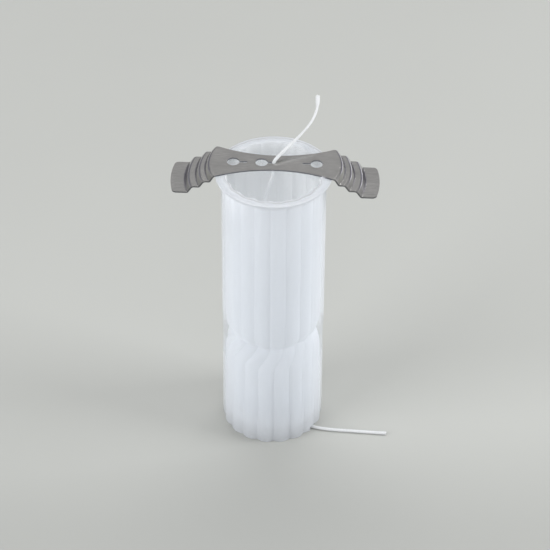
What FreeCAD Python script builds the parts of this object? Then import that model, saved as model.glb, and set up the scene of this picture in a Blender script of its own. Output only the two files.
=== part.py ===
"""Fluted candle mould with a stepped wick-centring bar and a braided wick.

Millimetres, +Z up.  The origin is the middle of the mould's foot, on the surface it stands on.
-Y is the front, +X the right-hand side.  Plan angles are counted from the front towards the right.
"""
import FreeCAD, Part
import math
import os

Vector = FreeCAD.Vector

DIMENSIONS = {
    # mould shell
    "mould_height": 168.0,
    "flange_radius": 30.8,
    "flange_thickness": 1.5,
    "flute_count": 18,
    "flute_depth": 1.3,
    "wall": 1.8,
    "upper_lobe": 27.7,
    "upper_phase": -4.0,
    "lower_lobe": 27.5,
    "lower_phase": 1.5,
    "foot_chamfer": 0.6,
    # waist between the two fluted lengths
    "outer_band_low": 47.0,
    "outer_band_high": 73.0,
    "outer_band_inset": 0.3,
    "shoulder_start": 49.0,
    "waist_level": 62.0,
    "neck_height": 1.0,
    "upper_start": 74.0,
    "waist_inset": 5.5,
    # base
    "recess_height": 6.5,
    "recess_radius": 22.5,
    "floor_level": 9.0,
    "wick_hole": 3.2,
    "notch_width": 3.4,
    "notch_height": 2.6,
    "notch_angle": 54.0,
    # seal under the base
    "seal_diameter": 9.0,
    "seal_thickness": 1.6,
    # wick
    "wick_diameter": 1.8,
    # wick bar
    "bar_thickness": 0.8,
    "bar_bend": 1.3,
    "bar_half_width": 12.9,
    "bar_half_waist": 6.15,
    "bar_corner_round": 2.4,
    "plate_corner_round": 9.0,
    "plate_end": 30.8,
    "bar_reach": 55.0,
    "bar_end_centre": 8.0,
    "bar_shift_right": 0.7,
    "bar_shift_back": 6.4,
    "bar_yaw": -2.3,
    "key_diameter": 6.6,
    "key_slot": 1.2,
    "key_reach": 7.4,
    "key_left": -22.0,
    "key_middle": -7.1,
    "key_right": 21.7,
    "wick_eye": 2.1,
}

# Stepped section of the bar under its plate: (distance from the bar's centre, drop) at each bend.
BAR_STEPS = ((34.6, 0.0), (36.6, 3.73), (39.4, 3.73), (41.6, 7.27), (45.0, 7.27), (47.5, 11.04))

SHOULDER_STEPS = 7
FLARE_STEPS = 5
CURVE_SWEEP = 80.0

# The wick's route, from the seal up to the bar, above the bar, and from the seal out on the table.
CORE_ROUTE = (
    (0.0, 0.0, 4.9), (0.0, 0.0, 13.0), (-2.4, 0.4, 28.5), (-7.4, 1.2, 58.0), (-10.0, 2.2, 92.0),
    (-7.9, 3.9, 125.0), (-4.7, 4.9, 145.5), (-1.8, 6.2, 156.5), (-0.05, 6.43, 163.0), (-0.05, 6.43, 168.0),
)
TOP_ROUTE = (
    (-0.05, 6.43, 168.0), (-0.05, 6.43, 170.1), (1.4, 7.8, 171.3), (4.2, 10.9, 172.0), (9.2, 16.1, 173.8),
    (15.0, 21.8, 176.9), (19.8, 27.3, 179.9), (22.3, 33.4, 182.3), (23.1, 38.7, 183.9), (23.0, 43.6, 185.0),
)
TAIL_ROUTE = (
    (0.0, 0.0, 4.9), (0.0, 0.0, 2.9), (1.3, -0.9, 1.4), (3.9, -2.8, 1.0), (8.2, -6.2, 1.0),
    (14.2, -11.1, 1.0), (20.6, -15.2, 1.0), (27.2, -18.1, 1.0), (35.2, -19.0, 1.0),
    (44.5, -19.1, 1.0), (54.0, -20.4, 1.0), (63.3, -21.3, 1.0),
)
RUN_SHARE = 0.45


def make_sheet(doc):
    """The driving dimensions, one aliased row each."""
    sheet = doc.addObject("Spreadsheet::Sheet", "Sizes")
    for row, (name, value) in enumerate(DIMENSIONS.items(), start=1):
        sheet.set(f"A{row}", name)
        sheet.set(f"B{row}", str(value))
        sheet.setAlias(f"B{row}", name)
    doc.recompute()
    return sheet


def bind(item, **cells):
    """Tie properties of a document object to expressions on the sheet."""
    for name, expression in cells.items():
        item.setExpression(name.replace("__", "."), expression)


def add(doc, kind, name, **cells):
    item = doc.addObject(kind, name)
    bind(item, **cells)
    return item


def add_shape(doc, name, shape):
    """A feature whose shape is worked out here, from the sheet's values."""
    item = doc.addObject("Part::Feature", name)
    item.Shape = shape
    return item


def fuse(doc, name, items):
    joined = doc.addObject("Part::MultiFuse", name)
    joined.Shapes = items
    return joined


def cut(doc, name, base, tool):
    result = doc.addObject("Part::Cut", name)
    result.Base = base
    result.Tool = tool
    return result


def polar(radius, angle, level):
    """A point at a plan angle counted from the front towards the right."""
    turn = math.radians(angle)
    return Vector(radius * math.sin(turn), -radius * math.cos(turn), level)


def fluted_wire(sizes, lobe, cusp, phase, level):
    """A closed ring of equal outward arcs that meet in inward cusps."""
    pitch = 360.0 / sizes.flute_count
    arcs = []
    for index in range(int(sizes.flute_count)):
        start = phase + index * pitch
        ends = polar(cusp, start, level), polar(cusp, start + pitch, level)
        arcs.append(Part.Arc(ends[0], polar(lobe, start + pitch / 2, level), ends[1]).toShape())
    return Part.Wire(arcs)


def prism(wire, height):
    return Part.Face(wire).extrude(Vector(0, 0, height))


def loft(wires, ruled=False):
    return Part.makeLoft(wires, True, ruled)


def outer_form(sizes):
    """Outside of the mould below its flange: two fluted lengths with a plain band between them."""
    depth = sizes.flute_depth
    chamfer = sizes.foot_chamfer

    def lower(level, inset=0.0):
        lobe = sizes.lower_lobe - inset
        return fluted_wire(sizes, lobe, lobe - depth, sizes.lower_phase, level)

    def upper(level):
        return fluted_wire(sizes, sizes.upper_lobe, sizes.upper_lobe - depth, sizes.upper_phase, level)

    def plain(level, phase):
        radius = sizes.lower_lobe - sizes.outer_band_inset
        return fluted_wire(sizes, radius, radius, phase, level)

    low, high = sizes.outer_band_low, sizes.outer_band_high
    third = (high - low) / 3
    foot = loft([lower(0, chamfer), lower(chamfer)], ruled=True)
    below = prism(lower(chamfer), low - chamfer)
    band = loft([lower(low), plain(low + third, sizes.lower_phase),
                 plain(high - third, sizes.upper_phase), upper(high)])
    above = prism(upper(high), sizes.mould_height - high)
    return foot.fuse([below, band, above])


def ease_in(steps):
    """Points on the start of an ellipse, as (share of its length, share of its rise)."""
    sweep = math.radians(CURVE_SWEEP)
    angles = [sweep * index / steps for index in range(1, steps + 1)]
    return [(math.sin(angle) / math.sin(sweep), (1 - math.cos(angle)) / (1 - math.cos(sweep)))
            for angle in angles]


def cavity_form(sizes):
    """The candle's own shape: its flutes twist by most of a pitch where they draw in to the waist."""
    pitch = 360.0 / sizes.flute_count
    low, waist, high = sizes.shoulder_start, sizes.waist_level, sizes.upper_start
    neck = waist + sizes.neck_height
    lower_lobe = sizes.lower_lobe - sizes.wall
    upper_lobe = sizes.upper_lobe - sizes.wall
    twist = sizes.upper_phase + pitch - sizes.lower_phase

    def section(lobe, level):
        turn = min(1.0, max(0.0, (level - low) / (neck - low)))
        phase = sizes.lower_phase + twist * turn * turn * (3 - 2 * turn)
        return fluted_wire(sizes, lobe, lobe - sizes.flute_depth, phase, level)

    wires = [section(lower_lobe, low)]
    for length, rise in ease_in(SHOULDER_STEPS):
        wires.append(section(lower_lobe - rise * sizes.waist_inset, low + length * (waist - low)))
    for length, rise in reversed(ease_in(FLARE_STEPS)):
        wires.append(section(upper_lobe - rise * sizes.waist_inset, high - length * (high - neck)))
    wires.append(section(upper_lobe, high))
    below = prism(section(lower_lobe, sizes.floor_level), low - sizes.floor_level)
    above = prism(wires[-1], sizes.mould_height - high)
    return below.fuse([loft(wires, ruled=True), above])


def make_mould(doc, sizes):
    """One shell: fluted body, flat flange, recessed base with the wick hole and a notch in the foot."""
    body = add_shape(doc, "MouldOuter", outer_form(sizes))
    flange = add(doc, "Part::Cylinder", "MouldFlange", Radius="Sizes.flange_radius",
                 Height="Sizes.flange_thickness")
    bind(flange, Placement__Base__z="Sizes.mould_height - Sizes.flange_thickness")
    cavity = add_shape(doc, "MouldCavity", cavity_form(sizes))
    recess = add(doc, "Part::Cylinder", "BaseRecess", Radius="Sizes.recess_radius",
                 Height="Sizes.recess_height")
    hole = add(doc, "Part::Cylinder", "WickHole", Radius="Sizes.wick_hole / 2",
               Height="Sizes.floor_level + Sizes.wall")
    notch = add(doc, "Part::Box", "FootNotch", Length="Sizes.notch_width",
                Width="Sizes.flange_radius", Height="Sizes.notch_height")
    turn = FreeCAD.Rotation(Vector(0, 0, 1), sizes.notch_angle)
    notch.Placement = FreeCAD.Placement(turn.multVec(Vector(-sizes.notch_width / 2, -sizes.flange_radius, 0)),
                                        turn)
    solid = fuse(doc, "MouldSolid", [body, flange])
    hollow = fuse(doc, "MouldHollow", [cavity, recess, hole, notch])
    return cut(doc, "mould_shell", solid, hollow)


def make_seal(doc):
    """Soft plug pressed up against the base round the wick: a disc with a stem that fills the hole."""
    disc = add(doc, "Part::Cylinder", "SealDisc", Radius="Sizes.seal_diameter / 2",
               Height="Sizes.seal_thickness")
    bind(disc, Placement__Base__z="Sizes.recess_height - Sizes.seal_thickness")
    stem = add(doc, "Part::Cylinder", "SealStem", Radius="Sizes.wick_hole / 2",
               Height="Sizes.floor_level - Sizes.recess_height")
    bind(stem, Placement__Base__z="Sizes.recess_height")
    bore = add(doc, "Part::Cylinder", "SealBore", Radius="Sizes.wick_diameter / 2",
               Height="Sizes.floor_level")
    return cut(doc, "wick_seal", fuse(doc, "SealSolid", [disc, stem]), bore)


def rounded_path(points, radii):
    """Straight runs joined by tangent arcs; radii holds one value for each inner point."""
    edges = []
    start = points[0]
    for before, corner, after, radius in zip(points, points[1:], points[2:], radii):
        back = (before - corner).normalize()
        ahead = (after - corner).normalize()
        half_turn = (math.pi - back.getAngle(ahead)) / 2
        reach = radius * math.tan(half_turn)
        middle = (back + ahead).normalize()
        crown = corner + middle * (radius / math.cos(half_turn) - radius)
        first, last = corner + back * reach, corner + ahead * reach
        edges.append(Part.LineSegment(start, first).toShape())
        edges.append(Part.Arc(first, crown, last).toShape())
        start = last
    edges.append(Part.LineSegment(start, points[-1]).toShape())
    return Part.Wire(edges)


def cord_radii(points):
    """The largest arc that each bend's two runs allow."""
    radii = []
    for before, corner, after in zip(points, points[1:], points[2:]):
        shorter = min((corner - before).Length, (after - corner).Length)
        half_turn = (corner - before).getAngle(after - corner) / 2
        radii.append(RUN_SHARE * shorter / math.tan(half_turn))
    return radii


def make_wick(doc, sizes, name, route):
    """A round tube along one stretch of the wick."""
    points = [Vector(*point) for point in route]
    radii = cord_radii(points)
    path = rounded_path(points, radii)
    radius = sizes.wick_diameter / 2
    ring = Part.Wire(Part.Circle(points[0], points[1] - points[0], radius).toShape())
    tube = path.makePipeShell([ring], True, False)
    ideal = math.pi * radius * radius * path.Length
    print(name, "length", round(path.Length, 1), "volume share", round(tube.Volume / ideal, 4),
          "radii", [round(value, 1) for value in radii])
    return add_shape(doc, name, tube)


def bar_blank(sizes):
    """The stepped sheet with its plate's underside at level 0: each end is turned about its own centre."""
    centre, reach = sizes.bar_end_centre, sizes.bar_reach
    points = [Vector(0, 0, 0)]
    points += [Vector(distance - centre, 0, -drop) for distance, drop in BAR_STEPS]
    points.append(Vector(reach - centre, 0, -BAR_STEPS[-1][1]))
    path = rounded_path(points, [sizes.bar_bend] * (len(points) - 2))
    section = path.makeOffset2D(sizes.bar_thickness, 0, True, True)
    if section.BoundBox.ZMax < sizes.bar_thickness / 2:
        section = path.makeOffset2D(-sizes.bar_thickness, 0, True, True)
    turned = section.revolve(Vector(0, 0, 0), Vector(0, 0, 1), 360)
    turned.translate(Vector(centre, 0, 0))
    right = turned.common(Part.makeBox(2 * reach, 2 * reach, 2 * reach, Vector(0, -reach, -reach)))
    return right.fuse(right.mirror(Vector(0, 0, 0), Vector(1, 0, 0))).removeSplitter()


def upright_edges(block, reach):
    """The edges that stand upright at the distance reach on either side of the middle."""
    return [edge for edge in block.Edges
            if abs(edge.tangentAt(edge.FirstParameter).z) > 0.999
            and abs(abs(edge.Vertexes[0].X) - reach) < 1e-6]


def bar_plan(sizes):
    """Outline seen from above: a bow-tie plate that runs on into two straight-sided wings."""
    end, side, waist = sizes.plate_end, sizes.bar_half_width, sizes.bar_half_waist
    top = BAR_STEPS[-1][1] + sizes.bar_thickness
    centre = sizes.bar_end_centre
    tip = centre + math.sqrt((sizes.bar_reach - centre) ** 2 - side ** 2)
    corners = [Vector(end, -side, -top), Vector(tip, -side, -top), Vector(tip, side, -top),
               Vector(end, side, -top), Vector(-end, side, -top), Vector(-tip, side, -top),
               Vector(-tip, -side, -top), Vector(-end, -side, -top)]
    edges = [
        Part.LineSegment(corners[0], corners[1]).toShape(),
        Part.Arc(corners[1], Vector(sizes.bar_reach, 0, -top), corners[2]).toShape(),
        Part.LineSegment(corners[2], corners[3]).toShape(),
        Part.Arc(corners[3], Vector(0, waist, -top), corners[4]).toShape(),
        Part.LineSegment(corners[4], corners[5]).toShape(),
        Part.Arc(corners[5], Vector(-sizes.bar_reach, 0, -top), corners[6]).toShape(),
        Part.LineSegment(corners[6], corners[7]).toShape(),
        Part.Arc(corners[7], Vector(0, -waist, -top), corners[0]).toShape(),
    ]
    block = prism(Part.Wire(edges), 2 * top)
    block = block.makeFillet(sizes.bar_corner_round, upright_edges(block, tip))
    return block.makeFillet(sizes.plate_corner_round, upright_edges(block, end))


def make_bar(doc, sizes):
    """Stamped sheet bar: stepped blank trimmed to its plan, then pierced with three keyholes."""
    blank = doc.addObject("Part::MultiCommon", "BarBlank")
    blank.Shapes = [add_shape(doc, "BarStepped", bar_blank(sizes)), add_shape(doc, "BarPlan", bar_plan(sizes))]
    tools = []
    for name, side in (("key_left", 1), ("key_middle", 1), ("key_right", -1)):
        eye = add(doc, "Part::Cylinder", name + "_eye", Radius="Sizes.key_diameter / 2",
                  Height="3 * Sizes.bar_thickness")
        bind(eye, Placement__Base__x="Sizes." + name, Placement__Base__z="-Sizes.bar_thickness")
        slot = add(doc, "Part::Box", name + "_slot", Length="Sizes.key_reach - Sizes.key_slot / 2",
                   Width="Sizes.key_slot", Height="3 * Sizes.bar_thickness")
        end = add(doc, "Part::Cylinder", name + "_end", Radius="Sizes.key_slot / 2",
                  Height="3 * Sizes.bar_thickness")
        reach = "(Sizes.key_reach - Sizes.key_slot / 2)"
        bind(slot, Placement__Base__x="Sizes." + name if side > 0 else f"Sizes.{name} - {reach}",
             Placement__Base__y="-Sizes.key_slot / 2", Placement__Base__z="-Sizes.bar_thickness")
        bind(end, Placement__Base__x=f"Sizes.{name} {'+' if side > 0 else '-'} {reach}",
             Placement__Base__z="-Sizes.bar_thickness")
        tools += [eye, slot, end]
    eye = add(doc, "Part::Cylinder", "WickEye", Radius="Sizes.wick_eye / 2", Height="3 * Sizes.bar_thickness")
    bind(eye, Placement__Base__x="Sizes.key_middle + Sizes.key_reach - Sizes.wick_eye / 2",
         Placement__Base__z="-Sizes.bar_thickness")
    bar = cut(doc, "wick_bar", blank, fuse(doc, "BarKeyholes", tools + [eye]))
    bar.Placement = FreeCAD.Placement(Vector(0, 0, 0), FreeCAD.Rotation(Vector(0, 0, 1), sizes.bar_yaw))
    bind(bar, Placement__Base__x="Sizes.bar_shift_right", Placement__Base__y="Sizes.bar_shift_back",
         Placement__Base__z="Sizes.mould_height")
    return bar


def check(doc):
    """Stop when a feature failed to compute."""
    failed = [item.Name for item in doc.Objects if {"Invalid", "Error"} & set(item.State)]
    if failed:
        raise RuntimeError(f"features failed: {failed}")


def write(items):
    os.makedirs("parts", exist_ok=True)
    for node, item in items.items():
        shape = item.Shape
        if shape.isNull() or not shape.isValid():
            raise RuntimeError(f"{node} has no valid shape")
        box = shape.BoundBox
        print(node, len(shape.Solids), "solid", round(shape.Volume), "mm3", [round(value, 1) for value in (
            box.XMin, box.YMin, box.ZMin, box.XMax, box.YMax, box.ZMax)])
        shape.exportStep(f"parts/{node}.step")


def main():
    doc = FreeCAD.newDocument("CandleMould")
    sizes = make_sheet(doc)
    items = {
        "mould_shell": make_mould(doc, sizes),
        "wick_seal": make_seal(doc),
        "wick_bar": make_bar(doc, sizes),
        "wick_core": make_wick(doc, sizes, "wick_core", CORE_ROUTE),
        "wick_top": make_wick(doc, sizes, "wick_top", TOP_ROUTE),
        "wick_tail": make_wick(doc, sizes, "wick_tail", TAIL_ROUTE),
    }
    for node, item in items.items():
        item.Label = node
    doc.recompute()
    check(doc)
    write(items)


main()
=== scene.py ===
"""Looks of the fluted candle mould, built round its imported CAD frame.  Metres, +Z up, -Y the front."""
import math

import bpy
import numpy as np
from mathutils import Matrix, Vector


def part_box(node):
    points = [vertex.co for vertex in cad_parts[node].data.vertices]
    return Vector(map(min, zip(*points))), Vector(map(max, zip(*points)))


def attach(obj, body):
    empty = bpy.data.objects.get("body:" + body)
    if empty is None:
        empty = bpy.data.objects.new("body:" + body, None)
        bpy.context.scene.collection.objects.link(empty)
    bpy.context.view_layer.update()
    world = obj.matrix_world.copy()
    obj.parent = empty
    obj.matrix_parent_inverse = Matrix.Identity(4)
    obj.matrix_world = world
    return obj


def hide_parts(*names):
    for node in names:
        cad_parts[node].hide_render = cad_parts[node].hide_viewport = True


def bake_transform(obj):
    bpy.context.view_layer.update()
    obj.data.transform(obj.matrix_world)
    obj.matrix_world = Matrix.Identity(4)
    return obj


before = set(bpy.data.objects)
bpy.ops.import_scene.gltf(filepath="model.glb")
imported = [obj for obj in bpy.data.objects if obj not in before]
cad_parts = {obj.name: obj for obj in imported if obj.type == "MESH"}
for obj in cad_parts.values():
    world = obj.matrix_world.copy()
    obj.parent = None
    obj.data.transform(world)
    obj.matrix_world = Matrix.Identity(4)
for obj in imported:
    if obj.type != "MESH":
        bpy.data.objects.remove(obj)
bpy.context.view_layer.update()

MM = 0.001
SHELL_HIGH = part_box("mould_shell")[1]

# Mould, as in the CAD model.  A lobe is the radius to a flute's crest, a phase turns the flutes,
# and each (low, high) pair is a span of heights above the foot.
FLUTES = 18
PITCH = 2 * math.pi / FLUTES
FLUTE_DEPTH = 1.3 * MM
WALL = 1.8 * MM
UPPER_LOBE = 27.7 * MM
LOWER_LOBE = 27.5 * MM
UPPER_PHASE = math.radians(-4.0)
LOWER_PHASE = math.radians(1.5)
FLANGE_RADIUS = SHELL_HIGH.x
FLANGE_THICKNESS = 1.5 * MM
TOP = SHELL_HIGH.z
FOOT_CHAMFER = 0.6 * MM
BAND_LOW, BAND_HIGH = 47.0 * MM, 73.0 * MM
BAND_INSET = 0.3 * MM
SHOULDER_START, WAIST_LEVEL, UPPER_START = 49.0 * MM, 62.0 * MM, 74.0 * MM
NECK_HEIGHT = 1.0 * MM
WAIST_INSET = 5.5 * MM
RECESS_HEIGHT, RECESS_RADIUS = 6.5 * MM, 22.5 * MM
FLOOR_LEVEL = 9.0 * MM
WICK_HOLE = 3.2 * MM
NOTCH_WIDTH, NOTCH_HEIGHT = 3.4 * MM, 2.6 * MM
NOTCH_ANGLE = math.radians(54.0)
CURVE_SWEEP = math.radians(80.0)

# Mesh of the mould: points across a flute, spacing of the rings, and small roundings.
FLUTE_STEPS = 14
BODY_STEP, BAND_STEP, LONG_STEP, WAIST_STEP = 8 * MM, 1 * MM, 12 * MM, 0.6 * MM
EDGE_ROUND, LIP_ROUND = 0.35 * MM, 0.45 * MM
HALFWAY_ROUND = 0.3
SHARP_ANGLE = math.radians(35)
OUTSIDE_SLOT, INSIDE_SLOT = 0, 1

# Frosted plastic.  The clear and grazing marks are (height, value) pairs up the mould.
OUTLINE_SOFTENING = 8.0
OUTLINE_FALLOFF = (0.42, 0.83)
OUTSIDE_CLEAR = (
    (0.0, 0.1), (FLOOR_LEVEL, 0.1), (FLOOR_LEVEL + 26 * MM, 0.84),
    (TOP - FLANGE_THICKNESS - MM, 0.84), (TOP - FLANGE_THICKNESS, 0.15),
)
OUTSIDE_GRAZING = (
    (BAND_LOW - 6 * MM, 0.25), (BAND_LOW + 2 * MM, 0.95),
    (BAND_HIGH - 4 * MM, 0.95), (BAND_HIGH + 6 * MM, 0.25),
)
INSIDE_CLEAR = ((0.0, 0.1), (BAND_LOW, 0.1), (BAND_HIGH, 0.22), (TOP, 0.22))
INSIDE_GRAZING = ((0.0, 0.5), (TOP, 0.5))
SPECK_SHARES = (0.08, 0.84)
SHINE_THROUGH = 0.5
LEAST_GLOSS, GLOSS_POWER = 0.035, 5.0
CLEAR_TINT = (0.97, 0.98, 1.0, 1.0)
OUTSIDE_COLOUR = (0.822, 0.838, 0.864)
INSIDE_COLOUR = (0.935, 0.948, 0.96)

# Steel, rubber and table.  The tints are (position, colour) marks on a noise.
STEEL_GRAIN = (220.0, 6500.0, 6500.0)
STEEL_TINTS = ((0.35, (0.39, 0.38, 0.37)), (0.65, (0.515, 0.505, 0.485)))
STEEL_ROUGHNESS = (0.16, 0.22)
# Painted shade: the steel's upright faces are darkened towards this colour, fading out over the falloff of
# the normal's height.
EDGE_SHADE_COLOUR = (0.2, 0.2, 0.21, 1.0)
EDGE_SHADE_FALLOFF = (0.2, 0.4)
RUBBER_COLOUR = (0.6, 0.58, 0.52, 1.0)
TABLE_TINTS = ((0.0, (0.447, 0.452, 0.430)), (1.0, (0.467, 0.472, 0.450)))
# Painted shade: the table darkens towards the front, down to NEAR_SHADE at NEAR_SHADE_START and beyond.
NEAR_SHADE, NEAR_SHADE_START = 0.85, -0.11

# Wick: the CAD model's routes, with the bends over the bar and on the table set a little closer.
CORE_ROUTE = (
    (0.0, 0.0, 0.0049), (0.0, 0.0, 0.013), (-0.0024, 0.0004, 0.0285), (-0.0074, 0.0012, 0.058),
    (-0.01, 0.0022, 0.092), (-0.0079, 0.0039, 0.125), (-0.0047, 0.0049, 0.1455),
    (-0.0018, 0.0062, 0.1565), (-0.00005, 0.00643, 0.163), (-0.00005, 0.00643, 0.168),
)
TOP_ROUTE = (
    (-0.00005, 0.00643, 0.168), (-0.00005, 0.00643, 0.1691), (0.0011, 0.0076, 0.1704),
    (0.0042, 0.0109, 0.172), (0.0092, 0.0161, 0.1738), (0.015, 0.0218, 0.1769),
    (0.0198, 0.0273, 0.1799), (0.0223, 0.0334, 0.1823), (0.0231, 0.0387, 0.1839),
    (0.023, 0.0436, 0.185),
)
TAIL_ROUTE = (
    (0.0, 0.0, 0.0049), (0.0, 0.0, 0.0029), (0.0013, -0.0009, 0.0014), (0.0039, -0.0028, 0.001),
    (0.0082, -0.0062, 0.001), (0.0142, -0.0109, 0.001), (0.0206, -0.0147, 0.001),
    (0.0272, -0.0168, 0.001), (0.0352, -0.0179, 0.001), (0.0445, -0.0187, 0.001),
    (0.054, -0.0196, 0.001), (0.0633, -0.0204, 0.001),
)

# Thickness along each length of the wick, as (share along, factor) marks.  The free end is drawn
# thin past its middle and opens out at the cut; the end on the table is fuller where it lies free.
EVEN = ((0.0, 1.0),)
PULLED_THIN = ((0.25, 1.2), (0.5, 0.84), (0.7, 0.912), (0.85, 0.912), (0.93, 1.462))
SLACKENED = ((0.15, 1.05), (0.45, 1.15), (0.9, 1.15), (0.98, 1.22))

# Braid of the wick: strands that wind both ways round a core.
BRAID_STEP = 0.32 * MM
BRAID_PITCH = 7.0 * MM
BRAID_RADIUS = 0.52 * MM
BRAID_WAVE = 0.1 * MM
STRANDS = 4
STRAND_WIDE = 0.38 * MM
STRAND_THICK = 0.2 * MM
STRAND_SIDES, CORE_SIDES = 8, 10

# Camera, worked out from the mould's and the bar's known sizes.
CAMERA_DISTANCE = 1.4
CAMERA_TARGET = 0.08
CAMERA_ELEVATION = math.radians(40.106)
CAMERA_PITCH = math.radians(39.542)
CAMERA_PAN = math.radians(-0.053)
CAMERA_ROLL = math.radians(0.389)
CAMERA_LENS = 168.7
CAMERA_NEAREST = 0.01

# Studio: area lights as (name, place, size, power, colour), all turned to the mould's middle.
LIGHT_AIM = (0.0, 0.0, 0.08)
LIGHTS = (
    ("left_box", (-1.3, -0.75, 0.75), (1.0, 0.9), 16.3, (0.98, 0.99, 1.0)),
    ("right_box", (1.45, -0.15, 0.62), (0.8, 0.8), 18.6, (0.98, 0.99, 1.0)),
    ("front_box", (0.0, -1.7, 0.9), (1.4, 0.8), 3.0, (1.0, 1.0, 1.0)),
    ("top_box", (0.0, 0.75, 1.6), (1.2, 0.7), 10.0, (1.0, 1.0, 1.0)),
)
SKY_COLOUR, SKY_STRENGTH = (0.97, 0.98, 1.0, 1.0), 0.53
FLOOR_SIZE = 6

# Glowing cards, painted reflections for the steel, as (name, place, size, colour, strength).
DARK_TINT, BRIGHT_TINT = (0.62, 0.62, 0.75), (0.87, 0.87, 1.0)
CARDS = (
    ("left_dark_card", (-0.47, 0.62, 0.42), (0.5, 0.3), DARK_TINT, 0.42),
    ("left_bright_card", (-0.54, 0.64, 0.17), (0.5, 0.12), BRIGHT_TINT, 0.6),
    ("right_dark_card", (0.47, 0.62, 0.42), (0.5, 0.3), DARK_TINT, 0.42),
    ("right_bright_card", (0.54, 0.64, 0.17), (0.5, 0.12), BRIGHT_TINT, 2.0),
)


# ---------------------------------------------------------------- shared

def placed(name, data):
    """A new object in the scene for a mesh, curve, light or camera."""
    made = bpy.data.objects.new(name, data)
    bpy.context.scene.collection.objects.link(made)
    return made


def smooth(value):
    """Ease from 0 to 1, level at both ends."""
    value = min(1.0, max(0.0, value))
    return value * value * (3 - 2 * value)


def eased(marks, along):
    """A value that eases from each (share along, value) mark to the next."""
    value = marks[0][1]
    for (start, low), (stop, high) in zip(marks, marks[1:]):
        value += (high - low) * smooth((along - start) / (stop - start))
    return value


# ---------------------------------------------------------------- materials

class Look:
    """A node material while it is put together, with short ways to add its nodes."""

    def __init__(self, name):
        self.material = bpy.data.materials.new(name)
        self.material.use_nodes = True
        self.nodes = self.material.node_tree.nodes
        self.nodes.clear()

    def feed(self, socket, value):
        """Join another node's output to a socket, or set the socket's own value."""
        if isinstance(value, bpy.types.NodeSocket):
            self.material.node_tree.links.new(value, socket)
        else:
            socket.default_value = value

    def add(self, kind, setup=None, **inputs):
        """A node with its settings, then its inputs fed by name (underscores stand for spaces)."""
        made = self.nodes.new("ShaderNode" + kind)
        for name, value in (setup or {}).items():
            setattr(made, name, value)
        for name, value in inputs.items():
            self.feed(made.inputs[name.replace("_", " ")], value)
        return made

    def place(self):
        return self.add("TexCoord").outputs["Object"]

    def part(self, vector, axis):
        return self.add("SeparateXYZ", Vector=vector).outputs[axis]

    def maths(self, operation, *values):
        made = self.add("Math", {"operation": operation})
        for socket, value in zip(made.inputs, values):
            self.feed(socket, value)
        return made.outputs[0]

    def vectors(self, operation, *values, **inputs):
        made = self.add("VectorMath", {"operation": operation}, **inputs)
        for socket, value in zip(made.inputs, values):
            self.feed(socket, value)
        return made.outputs["Value" if operation == "DOT_PRODUCT" else "Vector"]

    def mapped(self, value, source=(0.0, 1.0), target=(0.0, 1.0), setup=None):
        """A value carried from one range to another and held at its ends."""
        made = self.add("MapRange", setup, Value=value, From_Min=source[0], From_Max=source[1],
                        To_Min=target[0], To_Max=target[1])
        return made.outputs[0]

    def ramp(self, value, marks, interpolation="LINEAR"):
        """A colour that follows (position, colour) marks."""
        made = self.add("ValToRGB")
        self.feed(made.inputs[0], value)
        made.color_ramp.interpolation = interpolation
        elements = made.color_ramp.elements
        while len(elements) < len(marks):
            elements.new(1.0)
        for element, (position, colour) in zip(elements, marks):
            element.position = position
            element.color = (*colour, 1.0)
        return made.outputs[0]

    def noise(self, scale, detail, place=None):
        place = place or self.place()
        return self.add("TexNoise", Vector=place, Scale=scale, Detail=detail).outputs[0]

    def bump(self, height, strength, distance):
        return self.add("Bump", Height=height, Strength=strength, Distance=distance).outputs[0]

    def mixed(self, share, first, second):
        mix = self.add("MixShader")
        for socket, value in zip(mix.inputs, (share, first.outputs[0], second.outputs[0])):
            self.feed(socket, value)
        return mix

    def finish(self, shader):
        self.add("OutputMaterial", Surface=shader.outputs[0])
        return self.material


def frosted_plastic(name, clear, grazing, colour, roughness, sheen, softening):
    """Frosted sheet: part clear, part white scatter from both sides, with a soft sheen.

    clear is the clear share seen face on and grazing the factor on it at the outline,
    each as (height, value) marks.
    """
    look = Look(name)
    shaded = softened(look, softening)
    outline = softened(look, OUTLINE_SOFTENING)
    diffuse = look.add("BsdfDiffuse", Color=(*colour, 1.0), Roughness=0.6, Normal=shaded)
    glow = look.add("BsdfTranslucent", Color=(*colour, 1.0), Normal=shaded)
    through = look.add("BsdfTransparent", Color=CLEAR_TINT)
    grain = look.bump(look.noise(scale=900.0, detail=3.0), strength=0.05, distance=0.2 * MM)
    gloss = look.add("BsdfGlossy", Color=(1.0, 1.0, 1.0, 1.0), Roughness=roughness, Normal=grain)
    facing = look.add("LayerWeight", Blend=0.5, Normal=outline).outputs["Facing"]
    falloff = look.mapped(facing, OUTLINE_FALLOFF, (1.0, by_height(look, grazing)))
    share = look.maths("MULTIPLY", falloff, by_height(look, clear))
    scatter = look.mixed(SHINE_THROUGH, diffuse, glow)
    body = look.mixed(speckled(look, share), scatter, through)
    return look.finish(look.mixed(polish(look, facing, sheen), body, gloss))


def speckled(look, share):
    """The same share sown as specks too fine to see, each mostly white or mostly clear."""
    chance = look.mapped(share, SPECK_SHARES)
    specks = look.add("TexWhiteNoise", Vector=look.place()).outputs["Value"]
    return look.mapped(look.maths("GREATER_THAN", chance, specks), target=SPECK_SHARES)


def polish(look, facing, most):
    """Share of gloss, the same from both sides of a wall: little face on, most at grazing."""
    return look.mapped(look.maths("POWER", facing, GLOSS_POWER), target=(LEAST_GLOSS, most))


def softened(look, amount):
    """Normals turned towards the mould's round, as light that spreads inside the plastic shades it."""
    normal = look.add("NewGeometry").outputs["Normal"]
    outward = look.vectors("NORMALIZE", look.vectors("MULTIPLY", look.place(), (1.0, 1.0, 0.0)))
    pushed = look.vectors("SCALE", outward, Scale=look.vectors("DOT_PRODUCT", outward, normal))
    more = look.vectors("SCALE", pushed, Scale=amount)
    return look.vectors("NORMALIZE", look.vectors("ADD", more, normal))


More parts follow.
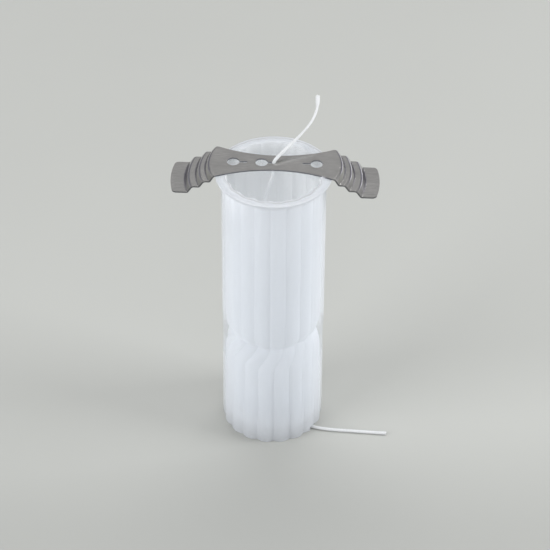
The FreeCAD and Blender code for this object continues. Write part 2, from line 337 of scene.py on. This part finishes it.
def by_height(look, marks):
    """A value that follows (height, value) marks up the mould."""
    level = look.mapped(look.part(look.place(), "Z"), (0.0, TOP))
    greys = [(height / TOP, (value, value, value)) for height, value in marks]
    return look.ramp(level, greys, "EASE")


def rolled_steel():
    """Stamped sheet: fine rolling grain along the bar, faint blotches, polished bends."""
    look = Look("stamped_steel")
    stretched = look.add("Mapping", Vector=look.place(), Scale=STEEL_GRAIN).outputs[0]
    grain = look.noise(scale=1.0, detail=4.0, place=stretched)
    rough = look.mapped(look.noise(scale=90.0, detail=3.0), (0.3, 0.7), STEEL_ROUGHNESS)
    # The tint carries painted shade on the upright faces.
    tint = painted_edge_shade(look, look.ramp(grain, STEEL_TINTS))
    bump = look.bump(grain, strength=0.06, distance=0.02 * MM)
    steel = look.add("BsdfPrincipled", Metallic=1.0, Base_Color=tint, Roughness=rough, Normal=bump)
    return look.finish(steel)


def painted_edge_shade(look, colour):
    """Painted shade: the faces that stand upright are darkened."""
    level = look.part(look.add("NewGeometry").outputs["True Normal"], "Z")
    lying = look.mapped(look.maths("ABSOLUTE", level), EDGE_SHADE_FALLOFF)
    mix = look.add("Mix", {"data_type": "RGBA"}, Factor=lying, A=EDGE_SHADE_COLOUR, B=colour)
    return mix.outputs["Result"]


def waxed_cotton(name, low, high):
    """Bleached cotton yarn with a little wax sheen, its greys between low and high."""
    look = Look(name)
    fibre = look.noise(scale=5000.0, detail=2.0)
    tints = ((0.0, (low, low * 1.02, low * 1.04)), (1.0, (high, high * 1.01, high * 1.02)))
    yarn = look.add("BsdfPrincipled", Base_Color=look.ramp(fibre, tints), Roughness=0.6, Sheen_Weight=0.3,
                    Subsurface_Weight=0.25, Subsurface_Radius=(0.6 * MM, 0.6 * MM, 0.6 * MM),
                    Normal=look.bump(fibre, strength=0.25, distance=0.08 * MM))
    return look.finish(yarn)


def soft_rubber():
    look = Look("seal_rubber")
    grain = look.bump(look.noise(scale=700.0, detail=4.0), strength=0.3, distance=0.2 * MM)
    return look.finish(look.add("BsdfPrincipled", Base_Color=RUBBER_COLOUR, Roughness=0.75, Normal=grain))


def table_surface():
    """Matt backdrop, a little darker towards the front: painted shade."""
    look = Look("table_surface")
    tint = look.ramp(look.noise(scale=6.0, detail=3.0), TABLE_TINTS)
    painted_front_shade = look.mapped(look.part(look.place(), "Y"), (NEAR_SHADE_START, 0.0), (NEAR_SHADE, 1.0),
                           {"interpolation_type": "SMOOTHSTEP"})
    shade = look.vectors("SCALE", tint, Scale=painted_front_shade)
    return look.finish(look.add("BsdfPrincipled", Base_Color=shade, Roughness=0.9, Specular_IOR_Level=0.1))


def card_glow(name, colour, strength):
    look = Look(name)
    return look.finish(look.add("Emission", Color=(*colour, 1.0), Strength=strength))


# ---------------------------------------------------------------- mould

def fluted_ring(lobe, depth, phase, level):
    """One ring of points: equal outward arcs from cusp to cusp."""
    points = []
    cusp = lobe - depth
    centre = (lobe ** 2 - cusp ** 2) / (2 * (lobe - cusp * math.cos(PITCH / 2)))
    arc = lobe - centre
    for index in range(FLUTES * FLUTE_STEPS):
        flute, step = divmod(index, FLUTE_STEPS)
        off = (step / FLUTE_STEPS - 0.5) * PITCH
        radius = centre * math.cos(off) + math.sqrt(arc ** 2 - (centre * math.sin(off)) ** 2)
        angle = phase + (flute + step / FLUTE_STEPS) * PITCH
        points.append((radius * math.sin(angle), -radius * math.cos(angle), level))
    return points


def outer_ring(level, inset=0.0):
    """Outside of the wall: fluted, with a plain band beside the waist."""
    third = (BAND_HIGH - BAND_LOW) / 3
    plain = smooth((level - BAND_LOW) / third) - smooth((level - BAND_HIGH + third) / third)
    upper = smooth((level - BAND_LOW - third) / third)
    lobe = LOWER_LOBE + (UPPER_LOBE - LOWER_LOBE) * upper - BAND_INSET * plain - inset
    phase = LOWER_PHASE + (UPPER_PHASE - LOWER_PHASE) * upper
    return fluted_ring(lobe, FLUTE_DEPTH * (1 - plain), phase, level)


def cavity_ring(level, grow=0.0):
    """Inside of the wall, the candle's own shape."""
    neck = WAIST_LEVEL + NECK_HEIGHT
    lower_lobe, upper_lobe = LOWER_LOBE - WALL, UPPER_LOBE - WALL
    full = 1 - math.cos(CURVE_SWEEP)

    def drawn_in(share):
        angle = math.asin(min(1.0, share) * math.sin(CURVE_SWEEP))
        return WAIST_INSET * (1 - math.cos(angle)) / full

    if level <= SHOULDER_START:
        lobe = lower_lobe
    elif level <= WAIST_LEVEL:
        lobe = lower_lobe - drawn_in((level - SHOULDER_START) / (WAIST_LEVEL - SHOULDER_START))
    elif level <= neck:
        along = (level - WAIST_LEVEL) / NECK_HEIGHT
        lobe = lower_lobe + (upper_lobe - lower_lobe) * along - WAIST_INSET
    elif level < UPPER_START:
        lobe = upper_lobe - drawn_in((UPPER_START - level) / (UPPER_START - neck))
    else:
        lobe = upper_lobe
    start = LOWER_PHASE - PITCH
    phase = start + (UPPER_PHASE - start) * smooth((level - SHOULDER_START) / (neck - SHOULDER_START))
    return fluted_ring(lobe + grow, FLUTE_DEPTH, phase, level)


def plain_ring(radius, phase, level):
    return fluted_ring(radius, 0.0, phase, level)


def levels(start, stop, step):
    """Even levels from start to stop, about a step apart, with both ends."""
    count = max(1, round(abs(stop - start) / step))
    return [start + (stop - start) * index / count for index in range(count + 1)]


def mould_rings():
    """Closed loop of rings: recess, foot, outside, flange, cavity and floor, as (ring, slot) pairs."""
    flange_low = TOP - FLANGE_THICKNESS
    neck_phase = LOWER_PHASE - PITCH
    rounding = ((1.0, 0.0), (HALFWAY_ROUND, HALFWAY_ROUND), (0.0, 1.0))
    recess = [
        plain_ring(WICK_HOLE / 2, neck_phase, FLOOR_LEVEL),
        plain_ring(WICK_HOLE / 2, neck_phase, RECESS_HEIGHT),
        plain_ring(RECESS_RADIUS - EDGE_ROUND, LOWER_PHASE, RECESS_HEIGHT),
        plain_ring(RECESS_RADIUS, LOWER_PHASE, RECESS_HEIGHT - EDGE_ROUND),
        plain_ring(RECESS_RADIUS, LOWER_PHASE, EDGE_ROUND),
        plain_ring(RECESS_RADIUS + EDGE_ROUND, LOWER_PHASE, 0.0),
    ]
    outside = [
        outer_ring(0.0, FOOT_CHAMFER),
        outer_ring(FOOT_CHAMFER * HALFWAY_ROUND, FOOT_CHAMFER * HALFWAY_ROUND),
    ]
    outside += [outer_ring(level) for level in levels(FOOT_CHAMFER, BAND_LOW, BODY_STEP)]
    outside += [outer_ring(level) for level in levels(BAND_LOW, BAND_HIGH, BAND_STEP)[1:]]
    outside += [outer_ring(level) for level in levels(BAND_HIGH, flange_low, LONG_STEP)[1:]]
    outside += [plain_ring(FLANGE_RADIUS - EDGE_ROUND * inward, UPPER_PHASE, flange_low + EDGE_ROUND * up)
                for inward, up in rounding]
    outside += [plain_ring(FLANGE_RADIUS - EDGE_ROUND * inward, UPPER_PHASE, TOP - EDGE_ROUND * down)
                for inward, down in reversed(rounding)]
    outside.append(cavity_ring(TOP, LIP_ROUND))
    cavity = [cavity_ring(TOP - LIP_ROUND * HALFWAY_ROUND, LIP_ROUND * HALFWAY_ROUND)]
    cavity += [cavity_ring(level) for level in levels(TOP - LIP_ROUND, UPPER_START, LONG_STEP)]
    cavity += [cavity_ring(level) for level in levels(UPPER_START, SHOULDER_START, WAIST_STEP)[1:]]
    cavity += [cavity_ring(level)
               for level in levels(SHOULDER_START, FLOOR_LEVEL + LIP_ROUND, BODY_STEP)[1:]]
    cavity.append(cavity_ring(FLOOR_LEVEL, -LIP_ROUND))
    return ([(ring, INSIDE_SLOT) for ring in recess] + [(ring, OUTSIDE_SLOT) for ring in outside]
            + [(ring, INSIDE_SLOT) for ring in cavity])


def make_mould(outer, inner):
    """One closed shell from the loop of rings, with a material for each side of the wall."""
    rings = mould_rings()
    count = FLUTES * FLUTE_STEPS
    vertices = [point for ring, slot in rings for point in ring]
    faces, slots = [], []
    for index, (ring, slot) in enumerate(rings):
        low, high = index * count, (index + 1) % len(rings) * count
        for step in range(count):
            ahead = (step + 1) % count
            faces.append((low + step, low + ahead, high + ahead, high + step))
            slots.append(slot)
    mesh = bpy.data.meshes.new("mould_body")
    mesh.from_pydata(vertices, [], faces)
    for polygon, slot in zip(mesh.polygons, slots):
        polygon.use_smooth = True
        polygon.material_index = slot
    mesh.materials.append(outer)
    mesh.materials.append(inner)
    mesh.set_sharp_from_angle(angle=SHARP_ANGLE)
    return placed("mould_body", mesh)


def cut_notch(piece):
    """Notch through the foot, where the wick is led out."""
    bpy.ops.mesh.primitive_cube_add(size=1)
    tool = bpy.context.object
    reach = FLANGE_RADIUS - RECESS_RADIUS / 2
    tool.scale = (NOTCH_WIDTH, reach, 2 * NOTCH_HEIGHT)
    middle = RECESS_RADIUS / 2 + reach / 2
    tool.rotation_euler = (0, 0, NOTCH_ANGLE)
    tool.location = (middle * math.sin(NOTCH_ANGLE), -middle * math.cos(NOTCH_ANGLE), 0)
    cutter = piece.modifiers.new("notch", "BOOLEAN")
    cutter.operation = "DIFFERENCE"
    cutter.solver = "EXACT"
    cutter.object = tool
    bpy.context.view_layer.update()
    bpy.context.view_layer.objects.active = piece
    with bpy.context.temp_override(object=piece, active_object=piece):
        bpy.ops.object.modifier_apply(modifier=cutter.name)
    bpy.data.objects.remove(tool)


# ---------------------------------------------------------------- wick

def spline_of(route):
    """Evenly dense points along the smooth line through a route's control points."""
    curve = bpy.data.curves.new("route", "CURVE")
    curve.dimensions = "3D"
    curve.resolution_u = 40
    spline = curve.splines.new("NURBS")
    spline.points.add(len(route) - 1)
    for point, place in zip(spline.points, route):
        point.co = (*place, 1.0)
    spline.order_u = 3
    spline.use_endpoint_u = True
    holder = placed("route", curve)
    bpy.context.view_layer.update()
    line = bpy.data.meshes.new_from_object(holder.evaluated_get(bpy.context.evaluated_depsgraph_get()))
    points = [vertex.co.copy() for vertex in line.vertices]
    bpy.data.objects.remove(holder)
    return points


def resample(points, step):
    """Points a fixed step apart along a line."""
    gaps = [(b - a).length for a, b in zip(points, points[1:])]
    total = sum(gaps)
    count = max(2, round(total / step))
    marks = np.concatenate([[0.0], np.cumsum(gaps)])
    where = np.linspace(0.0, total, count + 1)
    coordinates = np.array(points)
    return [Vector([float(np.interp(spot, marks, coordinates[:, axis])) for axis in range(3)])
            for spot in where], total / count


def frames_along(points):
    """A pair of cross directions at each point, carried along without twisting."""
    tangents = []
    for index in range(len(points)):
        ahead = points[min(index + 1, len(points) - 1)]
        behind = points[max(index - 1, 0)]
        tangents.append((ahead - behind).normalized())
    side = tangents[0].orthogonal().normalized()
    pairs = []
    for tangent in tangents:
        side = (side - tangent * side.dot(tangent)).normalized()
        pairs.append((side, tangent.cross(side)))
    return pairs


def add_tube(vertices, faces, points, widths, sides):
    """Append a capped tube.  widths holds (cross direction a, cross direction b) vectors at each point."""
    start = len(vertices)
    for point, (wide, thick) in zip(points, widths):
        for index in range(sides):
            angle = 2 * math.pi * index / sides
            vertices.append(point + wide * math.cos(angle) + thick * math.sin(angle))
    for ring in range(len(points) - 1):
        for index in range(sides):
            ahead = (index + 1) % sides
            low = start + ring * sides
            faces.append((low + index, low + ahead, low + sides + ahead, low + sides + index))
    faces.append(tuple(start + index for index in reversed(range(sides))))
    last = start + (len(points) - 1) * sides
    faces.append(tuple(last + index for index in range(sides)))


def braid(name, points, swell, material):
    """Round braid: strands wind both ways round the line, each passing over one and under one."""
    line, step = resample(points, BRAID_STEP)
    pairs = frames_along(line)
    growth = [eased(swell, index / (len(line) - 1)) for index in range(len(line))]
    vertices, faces = [], []
    for way in (1, -1):
        for strand in range(STRANDS):
            path, outs = [], []
            for index, (point, (side, up)) in enumerate(zip(line, pairs)):
                turn = way * 2 * math.pi * index * step / BRAID_PITCH
                angle = turn + strand * 2 * math.pi / STRANDS
                wave = way * BRAID_WAVE * math.cos(turn * STRANDS)
                outs.append(side * math.cos(angle) + up * math.sin(angle))
                path.append(point + outs[-1] * (BRAID_RADIUS + wave) * growth[index])
            widths = []
            for index, (out, grown) in enumerate(zip(outs, growth)):
                ahead = path[min(index + 1, len(path) - 1)] - path[max(index - 1, 0)]
                across = ahead.normalized().cross(out).normalized()
                widths.append((across * STRAND_WIDE * grown, out * STRAND_THICK * grown))
            add_tube(vertices, faces, path, widths, STRAND_SIDES)
    core = [(side * BRAID_RADIUS * grown, up * BRAID_RADIUS * grown)
            for (side, up), grown in zip(pairs, growth)]
    add_tube(vertices, faces, line, core, CORE_SIDES)
    mesh = bpy.data.meshes.new(name)
    mesh.from_pydata(vertices, [], faces)
    for polygon in mesh.polygons:
        polygon.use_smooth = True
    mesh.materials.append(material)
    return placed(name, mesh)


# ---------------------------------------------------------------- stage

def make_floor():
    bpy.ops.mesh.primitive_plane_add(size=FLOOR_SIZE)
    floor = bpy.context.object
    floor.name = "floor"
    floor.data.materials.append(table_surface())


def turned_to(place, aim, axis):
    """Rotation that points an object's own axis from its place to an aim."""
    return (Vector(aim) - Vector(place)).to_track_quat(axis, "Y").to_euler()


def make_lights():
    world = bpy.data.worlds.new("studio")
    bpy.context.scene.world = world
    world.use_nodes = True
    sky = world.node_tree.nodes["Background"]
    sky.inputs["Color"].default_value = SKY_COLOUR
    sky.inputs["Strength"].default_value = SKY_STRENGTH
    for name, place, size, power, colour in LIGHTS:
        data = bpy.data.lights.new(name, "AREA")
        data.shape = "RECTANGLE"
        data.size, data.size_y = size
        data.energy = power
        data.color = colour
        lamp = placed(name, data)
        lamp.location = place
        lamp.rotation_euler = turned_to(place, LIGHT_AIM, "-Z")


def make_cards():
    """Glowing cards that only polished metal shows, as painted reflections: they neither light nor shade
    anything.
    """
    for name, place, size, colour, strength in CARDS:
        bpy.ops.mesh.primitive_plane_add(size=1)
        card = bpy.context.object
        card.name = name
        card.scale = (*size, 1.0)
        card.location = place
        card.rotation_euler = turned_to(place, (0.0, 0.0, TOP), "Z")
        card.visible_camera = card.visible_diffuse = card.visible_shadow = False
        card.data.materials.append(card_glow(name, colour, strength))


def make_camera():
    data = bpy.data.cameras.new("camera")
    data.lens = CAMERA_LENS
    data.clip_start = CAMERA_NEAREST
    camera = placed("camera", data)
    out = CAMERA_DISTANCE * math.cos(CAMERA_ELEVATION)
    up = CAMERA_DISTANCE * math.sin(CAMERA_ELEVATION)
    camera.location = (0.0, -out, CAMERA_TARGET + up)
    turn = Matrix.Rotation(CAMERA_PAN, 3, "Z") @ Matrix.Rotation(math.pi / 2 - CAMERA_PITCH, 3, "X")
    camera.rotation_euler = (turn @ Matrix.Rotation(CAMERA_ROLL, 3, "Z")).to_euler()
    bpy.context.scene.camera = camera


# ---------------------------------------------------------------- assembly

def dress_mould():
    outer = frosted_plastic("frosted_outside", OUTSIDE_CLEAR, OUTSIDE_GRAZING, OUTSIDE_COLOUR,
                            roughness=0.17, sheen=0.6, softening=2.0)
    inner = frosted_plastic("frosted_inside", INSIDE_CLEAR, INSIDE_GRAZING, INSIDE_COLOUR,
                            roughness=0.55, sheen=0.2, softening=1.0)
    body = make_mould(outer, inner)
    cut_notch(body)
    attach(body, "mould")
    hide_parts("mould_shell")


def coat(name, material):
    """Give a CAD piece its own material and leave its shape alone."""
    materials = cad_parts[name].data.materials
    materials.clear()
    materials.append(material)


def dress_wick():
    cotton = waxed_cotton("wick_cotton", low=0.62, high=0.74)
    # Painted light: the wick inside the mould gets a brighter copy of the cotton, to make up for the shade
    # it lies in.
    painted_light_cotton = waxed_cotton("painted_light_wick_cotton", low=0.8, high=0.92)
    core = spline_of(CORE_ROUTE)
    piece = braid("wick_inside", core, EVEN, painted_light_cotton)
    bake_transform(piece)
    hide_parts("wick_core")
    top = spline_of(TOP_ROUTE)
    piece = braid("wick_free_end", top, PULLED_THIN, cotton)
    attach(piece, "wick_end")
    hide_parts("wick_top")
    tail = spline_of(TAIL_ROUTE)
    piece = braid("wick_on_table", tail, SLACKENED, cotton)
    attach(piece, "mould")
    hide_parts("wick_tail")


make_camera()
make_floor()
make_lights()
make_cards()
dress_wick()
dress_mould()
coat("wick_bar", rolled_steel())
coat("wick_seal", soft_rubber())
bpy.context.scene.view_settings.view_transform = "Standard"


def plain(bounds):
    return [[float(value) for value in corner] for corner in bounds]
